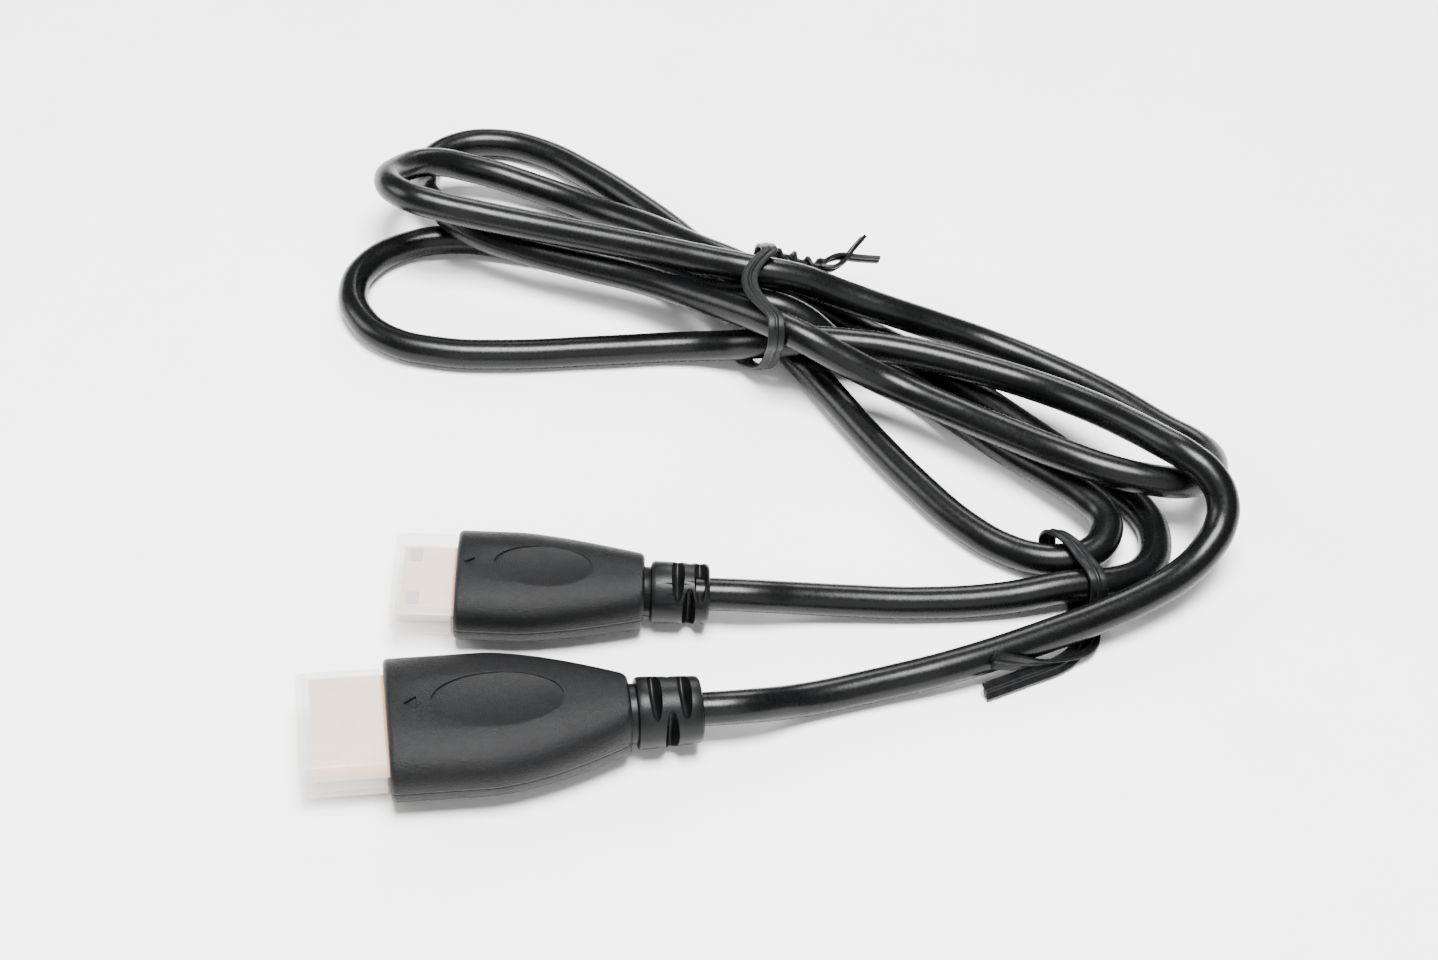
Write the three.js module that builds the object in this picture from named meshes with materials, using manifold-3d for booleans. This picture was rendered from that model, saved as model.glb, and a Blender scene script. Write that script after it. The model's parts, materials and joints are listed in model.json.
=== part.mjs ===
// Tied hank of audio and video cable: a large plug on one end, a mini plug on the other.
// Millimetres, +Z up. The set lies on the floor, z = 0, with both plugs' noses towards -X.
// The origin is on the floor, under the middle of the two plugs.
import * as THREE from 'three';
import { mergeVertices } from 'three/addons/utils/BufferGeometryUtils.js';
import Module from 'manifold-3d';

const wasm = await Module();
wasm.setup();

// Gaps
const PIECE_GAP = 0.3; // between pieces that meet
const CAP_SLACK = 0.15; // around the shell, inside its cap
const CUT_EXTRA = 2; // how far a cutting solid runs past the face it opens

// Cable
const CABLE_DIAMETER = 4.3;
const CABLE_SIDES = 8;
const CABLE_STEPS = 160;
const STRAIGHT_RUN = 5; // how far the cable runs straight on from a strain relief

// Sections
const SECTION_SIDES = 36;
const HOUSING_EXPONENT = 2.5; // 2 is an ellipse, more is squarer
const ROUND_EXPONENT = 2;
const CAP_EXPONENT = 7;
const CORNER_SEGMENTS = 3;

// Twist ties
const TIE_WIDTH = 2.3;
const TIE_THICKNESS = 0.7;
const STRIP_STEPS = 24;

const LARGE_PLUG = {
  name: 'large_plug',
  front: [-14.85, -11.28], // middle of the housing's front face, on the floor
  yaw: 4.8,
  housing: {
    length: 30,
    width: 20.2,
    thickness: 10,
    straight: 12,
    neckWidth: 9.4,
    neckThickness: 9.3,
    taperPower: 1.6,
    edge: 0.7,
  },
  recess: { centre: 13.7, length: 16.4, width: 8.4, depth: 0.4 },
  shell: { width: 13.9, height: 4.45, reach: 9.3, seat: 2, wall: 0.35, chamferWidth: 1.5, chamferHeight: 1.7 },
  windows: null,
  insert: { setBack: 1.2, slotDepth: 6, slotWall: 0.55 },
  relief: {
    length: 8.7,
    diameter: 9.1,
    endDiameter: 8.4,
    edge: 0.5,
    slotWidth: 1.1,
    slotDepth: 1.5,
    slots: [
      { at: 2.8, upright: true },
      { at: 4.7, upright: false },
      { at: 6.5, upright: true },
    ],
  },
  cap: { length: 10.7, startGap: 0.3, wall: 0.55, sideWall: 0.85, edge: 0.8, tipWall: 0.7 },
};

const MINI_PLUG = {
  name: 'mini_plug',
  front: [-6.45, 13.22],
  yaw: -3,
  housing: {
    length: 24.3,
    width: 16.2,
    thickness: 9,
    straight: 8,
    neckWidth: 9.8,
    neckThickness: 8.3,
    taperPower: 1.4,
    edge: 0.7,
  },
  recess: { centre: 11.2, length: 12.7, width: 6.9, depth: 0.4 },
  shell: { width: 10.42, height: 2.42, reach: 7, seat: 2, wall: 0.28, chamferWidth: 0.8, chamferHeight: 0.9 },
  windows: { at: 5.5, apart: 7.4, length: 1.8, width: 2.2 },
  insert: { setBack: 0.9, slotDepth: 4.5, slotWall: 0.3 },
  relief: {
    length: 8.1,
    diameter: 8.1,
    endDiameter: 7.8,
    edge: 0.5,
    slotWidth: 0.9,
    slotDepth: 1.3,
    slots: [
      { at: 4, upright: true },
      { at: 5.5, upright: false },
      { at: 6.9, upright: true },
    ],
  },
  cap: { length: 8, startGap: 0.3, wall: 0.6, sideWall: 2.1, edge: 0.8, tipWall: 0.7 },
};

// The cable's middle line from the large plug to the mini plug, X, Y, Z.
// It is folded into three loops on the left and two on the right, inside one wide outer loop.
const ROUTE = [
  // out over the floor and round the outer loop
  [37.5, -4.6, 2.7], [46, -2.2, 2.4], [58, 0.9, 3.2], [69.5, 5.1, 3.8], [77, 8.2, 4.2], [83, 11.2, 4.6],
  [88, 14.4, 5.2], [91.5, 17.5, 6.5], [93.5, 20.3, 8.2], [93.9, 22.9, 10.1], [92.6, 25.5, 11.9], [90, 28.2, 12.8],
  [87, 31.6, 12.4], [84, 36, 11], [79.5, 42.2, 8.7], [74, 47, 7.4], [67.5, 50.3, 7.2], [55.5, 54.7, 7.2],
  [48.5, 56.1, 7.2], [41.5, 56.7, 7.2],
  // through the upper tie and round the front left loop
  [36.8, 57.4, 6.1], [32, 59.3, 3.9], [26.5, 60.6, 2.5], [13.5, 60, 2.2], [-0.5, 59.2, 2.2], [-9.5, 59.8, 2.2],
  [-16.5, 62.2, 2.2], [-20.7, 66.8, 2.2], [-22.1, 72.6, 2.2], [-20.2, 78.2, 2.2], [-15.2, 82.4, 2.2],
  [-8, 84.3, 2.2], [2.5, 82.7, 2.2], [14, 79.5, 2.2], [21.5, 76.6, 2.3], [27.8, 71.4, 3.9], [32.4, 66.4, 6.6],
  // through the tie again and round the inner right loop
  [36.5, 63.8, 8], [41.5, 62.2, 7.1], [48, 59.3, 3.2], [56, 53.5, 2.2], [63.5, 45.7, 2.4], [70, 37.8, 3.2],
  [74.4, 32.9, 4], [77.8, 28.9, 4.4], [79.8, 25.3, 4.3], [79.3, 21.9, 3.9], [77, 19.6, 3.4], [73.7, 18.8, 3.2],
  [70.3, 19.3, 2.8], [66.6, 21.3, 2.3], [63, 24.2, 2.2], [56.3, 32.8, 2.2], [42.7, 56, 2.8],
  // under the bundle and round the rear left loop
  [35.6, 68.2, 3.4], [27.6, 83.4, 2.2], [20.5, 92, 2.2], [13.3, 99.2, 2.2], [5.7, 105, 2.2], [-1.3, 107.3, 2.2],
  [-7.4, 106.2, 2.2], [-11.3, 102.4, 2.2], [-12, 95.6, 2.9], [-9.4, 86.9, 6.2],
  // through the tie on top and round the upper right loop
  [-4.5, 80.4, 7.1], [2.5, 76.6, 7], [11, 73.2, 7], [19.5, 69.6, 7.4], [27.8, 63.8, 9], [33.4, 59, 10.7],
  [37.6, 55.2, 11.8], [41.5, 52.4, 11.7], [46.8, 50, 9.9], [53.5, 47.6, 7.5], [61, 42.9, 7.2], [68.5, 37.2, 8],
  [74.3, 32.7, 8.9], [80.5, 29.4, 9], [86.3, 28.1, 8.5], [90.7, 28.6, 7.6], [94.1, 31.1, 6.2], [95.9, 35.4, 4.6],
  [95, 39.7, 3.2], [91.5, 43.8, 2.4], [85, 50.4, 2.2], [77.5, 56.2, 2.2], [69.5, 60.7, 2.7], [61, 62.6, 4.9],
  [54.2, 63.3, 7.2], [48, 64.5, 9], [42, 65.3, 11.2],
  // through the tie once more and round the raised left loop
  [35.7, 65.9, 12.3], [28.6, 68.2, 12.2], [21, 71, 11.9], [11, 74.1, 11.8], [2.5, 76.4, 12], [-4.2, 77.8, 12.6],
  [-9.8, 78.7, 13.5], [-14.3, 80.8, 13.6], [-17, 85.7, 12.1], [-15.5, 91.5, 9.7], [-11, 95.9, 7.6],
  [-4.3, 97.3, 5], [5.5, 95, 3], [14.5, 90, 2.9], [21.7, 83.6, 5], [28.6, 75.7, 7.6], [33.4, 72.2, 8],
  // out of the tie, round the last bend and back to the mini plug
  [37.8, 69.9, 7.1], [43, 68.4, 4.2], [50, 65.2, 2.3], [57, 59.8, 2.2], [64.5, 52.7, 2.2], [71.8, 44.8, 2.2],
  [77.9, 38, 2.2], [82.5, 32.8, 2.2], [85.8, 28, 2.2], [86.5, 22.8, 2.2], [84.5, 18, 2.3], [80, 15, 2.9],
  [74.5, 14.1, 3.3], [64.5, 12.6, 2.4], [54, 12, 2.2], [45, 12, 2.6], [37.5, 11.8, 3.4],
];

// Each tie has a band across the strands, as Y, Z points of its middle line. The band leans along X as it
// goes from front to back, and bows to one side. Its loose ends are strips through X, Y, Z and roll in degrees.
const UPPER_TIE = {
  middle: 37.4,
  lean: { slope: 0, about: 63 },
  bow: { from: 53.5, to: 66.5, depth: 3.3 },
  band: [
    [54.4, 4.4], [53.2, 8], [51.2, 11.6], [52.6, 14.5], [59, 15.3], [65.8, 15.5], [68.6, 14.4],
    [72.7, 11], [74.6, 7.4], [74.9, 4], [73.4, 1.5], [70, 0.5], [65.5, 0.5], [61.6, 0.6], [57, 2.3],
  ],
  ends: [
    [[37.4, 74.4, 7.4, 0], [40.5, 72.9, 8.8, 300], [43.5, 70.4, 9.5, 600], [46, 69.8, 9.6, 840]],
    [[45.4, 69.6, 9.6, 120], [47.2, 69.5, 9.5, 120], [48.9, 71, 9.6, 120], [50.2, 73, 9.9, 120],
      [51.9, 75.3, 10.1, 120]],
    [[45.4, 69.8, 9.7, 120], [46.6, 70.9, 9.9, 120], [48.4, 71.7, 9.8, 120], [51, 71.9, 9.3, 120],
      [54.1, 71.9, 9, 120]],
  ],
};
const LOWER_TIE = {
  middle: 75,
  lean: { slope: -0.42, about: 15.5 },
  bow: { from: 10, to: 22, depth: -0.8 },
  band: [
    [11.6, 3.3], [12.4, 5.5], [14, 6.2], [16.4, 6.1], [19, 6.3], [21.7, 5.4], [22.7, 3.4], [22, 1.5],
    [19.6, 0.5], [14, 0.5], [12, 1.2],
  ],
  ends: [
    [[75.8, 13.6, 0.5, -180], [76, 8.6, 0.6, -180], [74.8, 5.3, 0.9, -165], [71.5, 3.2, 1.4, -140],
      [67.5, 1.6, 2.4, -115], [64.5, 0.4, 3.9, -80], [61.3, -0.3, 5.3, -49]],
    [[74.6, 13.6, 0.5, 0], [74.6, 8.6, 0.6, 0], [73.4, 5, 1, -20], [70.8, 2.4, 1.3, -45], [66, 0.2, 1.3, -46],
      [60.6, -2.2, 1.3, -46]],
  ],
};

const jacket = new THREE.MeshStandardMaterial({ color: 0x1b1c1e, roughness: 0.38, metalness: 0 });
const housingPlastic = new THREE.MeshStandardMaterial({ color: 0x232426, roughness: 0.72, metalness: 0 });
const reliefPlastic = new THREE.MeshStandardMaterial({ color: 0x1d1e20, roughness: 0.5, metalness: 0 });
const gildedMetal = new THREE.MeshStandardMaterial({ color: 0xd9b98c, roughness: 0.3, metalness: 1 });
const insertPlastic = new THREE.MeshStandardMaterial({ color: 0x141414, roughness: 0.6, metalness: 0 });
const capPlastic = new THREE.MeshStandardMaterial({
  color: 0xe9eae8, roughness: 0.45, metalness: 0, transparent: true, opacity: 0.4,
});
const tiePlastic = new THREE.MeshStandardMaterial({ color: 0x202123, roughness: 0.42, metalness: 0 });

function toSolid(geometry) {
  const bare = geometry.clone();
  bare.deleteAttribute('normal');
  bare.deleteAttribute('uv');
  const merged = mergeVertices(bare, 1e-4);
  return new wasm.Manifold(new wasm.Mesh({
    numProp: 3,
    vertProperties: new Float32Array(merged.attributes.position.array),
    triVerts: new Uint32Array(merged.index.array),
  }));
}

function toGeometry(solid) {
  const mesh = solid.getMesh();
  const geometry = new THREE.BufferGeometry();
  geometry.setAttribute('position', new THREE.BufferAttribute(mesh.vertProperties, 3));
  geometry.setIndex(new THREE.BufferAttribute(mesh.triVerts, 1));
  geometry.computeVertexNormals();
  return geometry;
}

function cutAway(geometry, cutters) {
  return toGeometry(cutters.reduce((solid, cutter) => solid.subtract(toSolid(cutter)), toSolid(geometry)));
}

function joined(geometries) {
  return toGeometry(geometries.map(toSolid).reduce((whole, solid) => whole.add(solid)));
}

// A closed solid through sections that stand across X, each { x, width, height }
function loft(sections, exponent, axisHeight) {
  const rows = sections.length - 1;
  const halfStep = Math.PI / SECTION_SIDES;
  const geometry = new THREE.CylinderGeometry(1, 1, rows, SECTION_SIDES, rows, false, halfStep);
  const flatTop = Math.cos(halfStep) ** (2 / exponent);
  const curved = (value) => Math.sign(value) * Math.abs(value) ** (2 / exponent);
  const position = geometry.attributes.position;
  for (let i = 0; i < position.count; i += 1) {
    const section = sections[Math.round(position.getY(i) + rows / 2)];
    const y = -curved(position.getX(i)) * section.width / 2;
    const z = curved(position.getZ(i)) / flatTop * section.height / 2;
    position.setXYZ(i, section.x, y, z + axisHeight);
  }
  return geometry;
}

function boxAt(x, y, z, sizeX, sizeY, sizeZ) {
  return new THREE.BoxGeometry(sizeX, sizeY, sizeZ).translate(x, y, z);
}

// An outline drawn across X, as Y and Z, made solid from one X to another
function alongX(shape, fromX, toX) {
  const geometry = new THREE.ExtrudeGeometry(shape, {
    depth: toX - fromX, bevelEnabled: false, curveSegments: CORNER_SEGMENTS,
  });
  const acrossX = new THREE.Matrix4().makeBasis(
    new THREE.Vector3(0, 1, 0), new THREE.Vector3(0, 0, 1), new THREE.Vector3(1, 0, 0),
  );
  return geometry.applyMatrix4(acrossX).translate(fromX, 0, 0);
}

// The shell's outline has square upper corners and slanted lower ones, grown by a margin all round
function shellPoints(shell, axisHeight, margin) {
  const side = shell.width / 2 + margin;
  const top = axisHeight + shell.height / 2 + margin;
  const bottom = axisHeight - shell.height / 2 - margin;
  const slant = Math.hypot(shell.chamferWidth, shell.chamferHeight);
  const shift = margin * (shell.chamferWidth + shell.chamferHeight - slant) / slant;
  const inset = shell.chamferWidth + shift * shell.chamferWidth / shell.chamferHeight;
  const rise = shell.chamferHeight + shift;
  return [
    [-side + inset, bottom], [side - inset, bottom], [side, bottom + rise], [side, top],
    [-side, top], [-side, bottom + rise],
  ].map(([y, z]) => new THREE.Vector2(y, z));
}

function shellShape(shell, axisHeight, margin) {
  return new THREE.Shape(shellPoints(shell, axisHeight, margin));
}

function housingSections(housing) {
  const sections = [
    { x: 0, inset: housing.edge },
    { x: housing.edge * 0.3, inset: housing.edge * 0.3 },
    { x: housing.edge, inset: 0 },
  ].map(({ x, inset }) => ({ x, width: housing.width - 2 * inset, height: housing.thickness - 2 * inset }));
  const steps = 8;
  for (let i = 0; i <= steps; i += 1) {
    const share = i / steps;
    const full = 1 - share ** housing.taperPower;
    sections.push({
      x: housing.straight + share * (housing.length - housing.straight),
      width: housing.neckWidth + (housing.width - housing.neckWidth) * full,
      height: housing.neckThickness + (housing.thickness - housing.neckThickness) * full,
    });
  }
  return sections;
}

function makeHousing(plug) {
  const { housing, recess, shell } = plug;
  const axisHeight = housing.thickness / 2;
  const body = loft(housingSections(housing), HOUSING_EXPONENT, axisHeight);
  const pocket = alongX(shellShape(shell, axisHeight, PIECE_GAP), -CUT_EXTRA, shell.seat + PIECE_GAP);
  const oval = new THREE.CylinderGeometry(0.5, 0.5, recess.depth + CUT_EXTRA, SECTION_SIDES);
  oval.rotateX(Math.PI / 2);
  oval.scale(recess.length, recess.width, 1);
  oval.translate(recess.centre, 0, housing.thickness - recess.depth + (recess.depth + CUT_EXTRA) / 2);
  return cutAway(body, [pocket, oval]);
}

function makeShell(plug) {
  const { housing, shell, windows } = plug;
  const axisHeight = housing.thickness / 2;
  const outline = shellShape(shell, axisHeight, 0);
  outline.holes.push(new THREE.Path(shellPoints(shell, axisHeight, -shell.wall)));
  const tube = alongX(outline, -shell.reach, shell.seat);
  if (!windows) return tube;
  const holes = [-1, 1].map((side) => boxAt(
    -windows.at, side * windows.apart / 2, axisHeight + shell.height / 2,
    windows.length, windows.width, shell.height / 2,
  ));
  return cutAway(tube, holes);
}

function makeInsert(plug) {
  const { housing, shell, insert } = plug;
  const axisHeight = housing.thickness / 2;
  const margin = -shell.wall - CAP_SLACK;
  const front = -shell.reach + insert.setBack;
  const block = alongX(shellShape(shell, axisHeight, margin), front, shell.seat);
  const mouth = alongX(
    shellShape(shell, axisHeight, margin - insert.slotWall), front - CUT_EXTRA, front + insert.slotDepth,
  );
  return cutAway(block, [mouth]);
}

function reliefStart(plug) {
  return plug.housing.length + PIECE_GAP;
}

function reliefEnd(plug) {
  return reliefStart(plug) + plug.relief.length;
}

function makeRelief(plug) {
  const { relief, housing } = plug;
  const axisHeight = housing.thickness / 2;
  const start = reliefStart(plug);
  const end = reliefEnd(plug);
  const round = (x, diameter) => ({ x, width: diameter, height: diameter });
  const body = loft([
    round(start, relief.diameter - 2 * relief.edge),
    round(start + relief.edge, relief.diameter),
    round(end - relief.edge, relief.endDiameter),
    round(end, relief.endDiameter - 2 * relief.edge),
  ], ROUND_EXPONENT, axisHeight);
  const edgeOf = (side) => side * (relief.diameter - relief.slotDepth + CUT_EXTRA) / 2;
  const cutDepth = relief.slotDepth + CUT_EXTRA;
  const cutters = relief.slots.flatMap(({ at, upright }) => [-1, 1].map((side) => (upright
    ? boxAt(start + at, 0, axisHeight + edgeOf(side), relief.slotWidth, relief.diameter, cutDepth)
    : boxAt(start + at, edgeOf(side), axisHeight, relief.slotWidth, cutDepth, relief.diameter))));
  return cutAway(body, cutters);
}

function makeCap(plug) {
  const { housing, shell, cap } = plug;
  const axisHeight = housing.thickness / 2;
  const innerWidth = shell.width + 2 * CAP_SLACK;
  const innerHeight = shell.height + 2 * CAP_SLACK;
  const mouth = -cap.startGap;
  const tip = mouth - cap.length;
  const section = (x, inset) => ({
    x,
    width: innerWidth + 2 * (cap.sideWall - inset),
    height: innerHeight + 2 * (cap.wall - inset),
  });
  const outside = loft([
    section(tip, cap.edge), section(tip + cap.edge * 0.3, cap.edge * 0.3), section(tip + cap.edge, 0),
    section(mouth, 0),
  ], CAP_EXPONENT, axisHeight);
  const cavity = alongX(
    shellShape(shell, axisHeight, CAP_SLACK), tip + cap.tipWall, mouth + CUT_EXTRA,
  );
  return cutAway(outside, [cavity]);
}

function piece(name, geometry, material) {
  const mesh = new THREE.Mesh(geometry, material);
  mesh.name = name;
  return mesh;
}

function makePlug(plug) {
  const group = new THREE.Group();
  group.position.set(plug.front[0], plug.front[1], 0);
  group.rotation.z = THREE.MathUtils.degToRad(plug.yaw);
  group.add(
    piece(`${plug.name}_housing`, makeHousing(plug), housingPlastic),
    piece(`${plug.name}_shell`, makeShell(plug), gildedMetal),
    piece(`${plug.name}_insert`, makeInsert(plug), insertPlastic),
    piece(`${plug.name}_strain_relief`, makeRelief(plug), reliefPlastic),
    piece(`${plug.name}_cap`, makeCap(plug), capPlastic),
  );
  return group;
}

// Where the cable meets a plug's strain relief, and a point straight on from there
function cableExit(plug) {
  const yaw = THREE.MathUtils.degToRad(plug.yaw);
  const along = (distance) => new THREE.Vector3(
    plug.front[0] + distance * Math.cos(yaw),
    plug.front[1] + distance * Math.sin(yaw),
    plug.housing.thickness / 2,
  );
  const start = reliefEnd(plug) + PIECE_GAP;
  return [along(start), along(start + STRAIGHT_RUN)];
}

function makeCable() {
  const middle = ROUTE.map(([x, y, z]) => new THREE.Vector3(x, y, z));
  const points = [...cableExit(LARGE_PLUG), ...middle, ...cableExit(MINI_PLUG).reverse()];
  const path = new THREE.CatmullRomCurve3(points, false, 'centripetal');
  path.arcLengthDivisions = 4000;
  const section = new THREE.Shape(Array.from({ length: CABLE_SIDES }, (_, side) => {
    const angle = side * 2 * Math.PI / CABLE_SIDES;
    return new THREE.Vector2(Math.cos(angle), Math.sin(angle)).multiplyScalar(CABLE_DIAMETER / 2);
  }));
  return new THREE.ExtrudeGeometry(section, { steps: CABLE_STEPS, extrudePath: path, bevelEnabled: false });
}

// A flat strip along points that each have a roll, which turns the strip over about its own line
function strip(points) {
  const path = new THREE.CatmullRomCurve3(points.map(([x, y, z]) => new THREE.Vector3(x, y, z)));
  const up = new THREE.Vector3(0, 0, 1);
  const geometry = new THREE.BoxGeometry(1, TIE_WIDTH, TIE_THICKNESS, STRIP_STEPS);
  const position = geometry.attributes.position;
  for (let i = 0; i < position.count; i += 1) {
    const share = position.getX(i) + 0.5;
    const span = Math.min(Math.floor(share * (points.length - 1)), points.length - 2);
    const [from, to] = [points[span][3], points[span + 1][3]];
    const roll = THREE.MathUtils.lerp(from, to, share * (points.length - 1) - span);
    const along = path.getTangent(share);
    const across = along.clone().cross(up).normalize().applyAxisAngle(along, THREE.MathUtils.degToRad(roll));
    const face = along.clone().cross(across);
    const at = path.getPoint(share)
      .addScaledVector(across, position.getY(i)).addScaledVector(face, position.getZ(i));
    position.setXYZ(i, at.x, at.y, at.z);
  }
  return geometry;
}

// The band's middle line in its own plane, moved out or in by half its thickness
function bandLine(points, offset) {
  const flat = points.map(([y, z]) => new THREE.Vector3(y, z, 0));
  const line = new THREE.CatmullRomCurve3(flat, true);
  const steps = points.length * 2;
  return Array.from({ length: steps }, (_, i) => {
    const at = line.getPoint(i / steps);
    const along = line.getTangent(i / steps);
    return new THREE.Vector2(at.x - along.y * offset, at.y + along.x * offset);
  });
}

function makeBand({ middle, lean, bow, band }) {
  const outline = new THREE.Shape(bandLine(band, TIE_THICKNESS / 2));
  outline.holes.push(new THREE.Path(bandLine(band, -TIE_THICKNESS / 2).reverse()));
  const geometry = alongX(outline, middle - TIE_WIDTH / 2, middle + TIE_WIDTH / 2);
  const position = geometry.attributes.position;
  for (let i = 0; i < position.count; i += 1) {
    const y = position.getY(i);
    const share = THREE.MathUtils.clamp((y - bow.from) / (bow.to - bow.from), 0, 1);
    const shift = lean.slope * (y - lean.about) - bow.depth * Math.sin(Math.PI * share);
    position.setX(i, position.getX(i) + shift);
  }
  return geometry;
}

function makeTie(tie) {
  return joined([makeBand(tie), ...tie.ends.map(strip)]);
}

const cableSet = new THREE.Group();
cableSet.add(
  makePlug(LARGE_PLUG),
  makePlug(MINI_PLUG),
  piece('cable', makeCable(), jacket),
  piece('upper_twist_tie', makeTie(UPPER_TIE), tiePlastic),
  piece('lower_twist_tie', makeTie(LOWER_TIE), tiePlastic),
);

export default cableSet;
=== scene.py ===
"""Looks for a tied hank of slim audio and video cable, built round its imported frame.

Metres, +Z up, the same frame as the CAD. Each plug is modelled with its nose towards -X and the front of its
housing at x = 0, and then set down in its place on the floor.
"""
import json
import math

import bpy
from mathutils import Matrix, Vector

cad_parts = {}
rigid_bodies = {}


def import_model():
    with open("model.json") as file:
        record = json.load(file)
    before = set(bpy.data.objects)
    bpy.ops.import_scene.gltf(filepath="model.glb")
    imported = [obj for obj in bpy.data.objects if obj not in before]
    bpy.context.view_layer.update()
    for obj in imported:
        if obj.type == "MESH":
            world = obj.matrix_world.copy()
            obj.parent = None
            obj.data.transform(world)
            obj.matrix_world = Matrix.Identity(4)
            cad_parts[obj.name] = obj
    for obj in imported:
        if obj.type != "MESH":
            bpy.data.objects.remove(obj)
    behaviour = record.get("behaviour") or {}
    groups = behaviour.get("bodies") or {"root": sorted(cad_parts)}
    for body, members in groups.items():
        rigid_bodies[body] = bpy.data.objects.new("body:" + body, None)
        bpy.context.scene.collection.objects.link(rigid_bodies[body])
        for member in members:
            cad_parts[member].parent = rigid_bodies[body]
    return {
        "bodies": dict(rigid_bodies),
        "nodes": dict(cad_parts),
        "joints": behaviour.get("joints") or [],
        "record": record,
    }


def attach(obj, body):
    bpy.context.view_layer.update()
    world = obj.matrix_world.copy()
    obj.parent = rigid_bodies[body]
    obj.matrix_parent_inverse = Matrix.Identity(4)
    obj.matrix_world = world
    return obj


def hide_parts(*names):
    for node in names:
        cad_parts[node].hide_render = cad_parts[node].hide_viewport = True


MM = 0.001

# The photograph's camera
PHOTO_WIDTH = 1438
LENS_CENTRE_X = 488
FOCAL_PIXELS = 2600
SENSOR_WIDTH = 36
CAMERA_PLACE = (-0.00235, -0.2118, 0.257)
CAMERA_TILT_DOWN = math.radians(46)

# Cable
CABLE_DIAMETER = 4.3 * MM
CABLE_TUCK = 2 * MM  # how far the cable goes on into each strain relief
CABLE_STRAIGHT = 5 * MM  # how far it runs straight out of each strain relief

# Sections
LOFT_SIDES = 96
TAPER_STEPS = 28
CORNER_STEPS = 5
HOUSING_EXPONENT = 2.5  # 2 is an ellipse, more is squarer
ROUND_EXPONENT = 2

# Plugs
HOUSING_EDGE = 0.7 * MM
REAR_EDGE = 0.3 * MM
ARROW_CUTTER = 0.9 * MM  # half of it goes into the housing
SLEEVE_EDGE = 0.5 * MM
SLEEVE_NECK_INSET = 0.8 * MM
SLEEVE_TUCK = 0.4 * MM  # how far the sleeve's neck goes back into the housing
TOP_SLOT = (0.85 * MM, 4.8 * MM, 3 * MM)  # half sizes of the egg that cuts it
SIDE_SLOT = (0.85 * MM, 2.8 * MM, 4.6 * MM)
FINE_EDGE = 0.12 * MM
CAP_EDGE = 0.1 * MM

# Twist ties
TIE_WIDTH = 2.3 * MM
TIE_THICKNESS = 0.5 * MM
TIE_WIRE = 0.8 * MM  # across the raised middle, where the wire runs
TIE_EDGE = 0.16 * MM
STRIP_STEPS = 48

PIECE_GAP = 0.3 * MM
CAP_SLACK = 0.15 * MM  # around the shell, inside its cap
CAP_TIP_WALL = 0.7 * MM
CAP_CORNER = 0.9 * MM

# "recess" is the middle, length, width and depth of the oval on each plug's top. "arrow" is the place and size
# of the triangle before it. "shell" is the metal shell's width, its height and how far it sits in the housing.
LARGE_PLUG = {
    "name": "large_plug",
    "front": (-0.01485, -0.01128),
    "yaw": math.radians(4.8),
    "length": 30 * MM,
    "width": 20.2 * MM,
    "thickness": 10 * MM,
    "straight": 12 * MM,
    "neck_width": 9.4 * MM,
    "neck_thickness": 9.3 * MM,
    "taper_power": 1.6,
    "recess": (13.7 * MM, 16.4 * MM, 8.4 * MM, 0.4 * MM),
    "arrow": (3.2 * MM, 2.3 * MM),
    "shell": (13.9 * MM, 4.45 * MM, 2 * MM),
    "relief_length": 8.7 * MM,
    "relief_diameter": 9.1 * MM,
    "relief_end_diameter": 8.4 * MM,
    "top_slots": (2.8 * MM, 6.5 * MM),
    "side_slots": (4.7 * MM,),
    "cap_length": 10.7 * MM,
    "cap_wall": 0.55 * MM,
    "cap_side_wall": 0.85 * MM,
}

MINI_PLUG = {
    "name": "mini_plug",
    "front": (-0.00645, 0.01322),
    "yaw": math.radians(-3),
    "length": 24.3 * MM,
    "width": 16.2 * MM,
    "thickness": 9 * MM,
    "straight": 8 * MM,
    "neck_width": 9.8 * MM,
    "neck_thickness": 8.3 * MM,
    "taper_power": 1.4,
    "recess": (11.2 * MM, 12.7 * MM, 6.9 * MM, 0.4 * MM),
    "arrow": (1.9 * MM, 1.9 * MM),
    "shell": (10.42 * MM, 2.42 * MM, 2 * MM),
    "relief_length": 8.1 * MM,
    "relief_diameter": 8.1 * MM,
    "relief_end_diameter": 7.8 * MM,
    "top_slots": (4 * MM, 6.9 * MM),
    "side_slots": (5.5 * MM,),
    "cap_length": 8 * MM,
    "cap_wall": 0.6 * MM,
    "cap_side_wall": 2.1 * MM,
}

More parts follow.
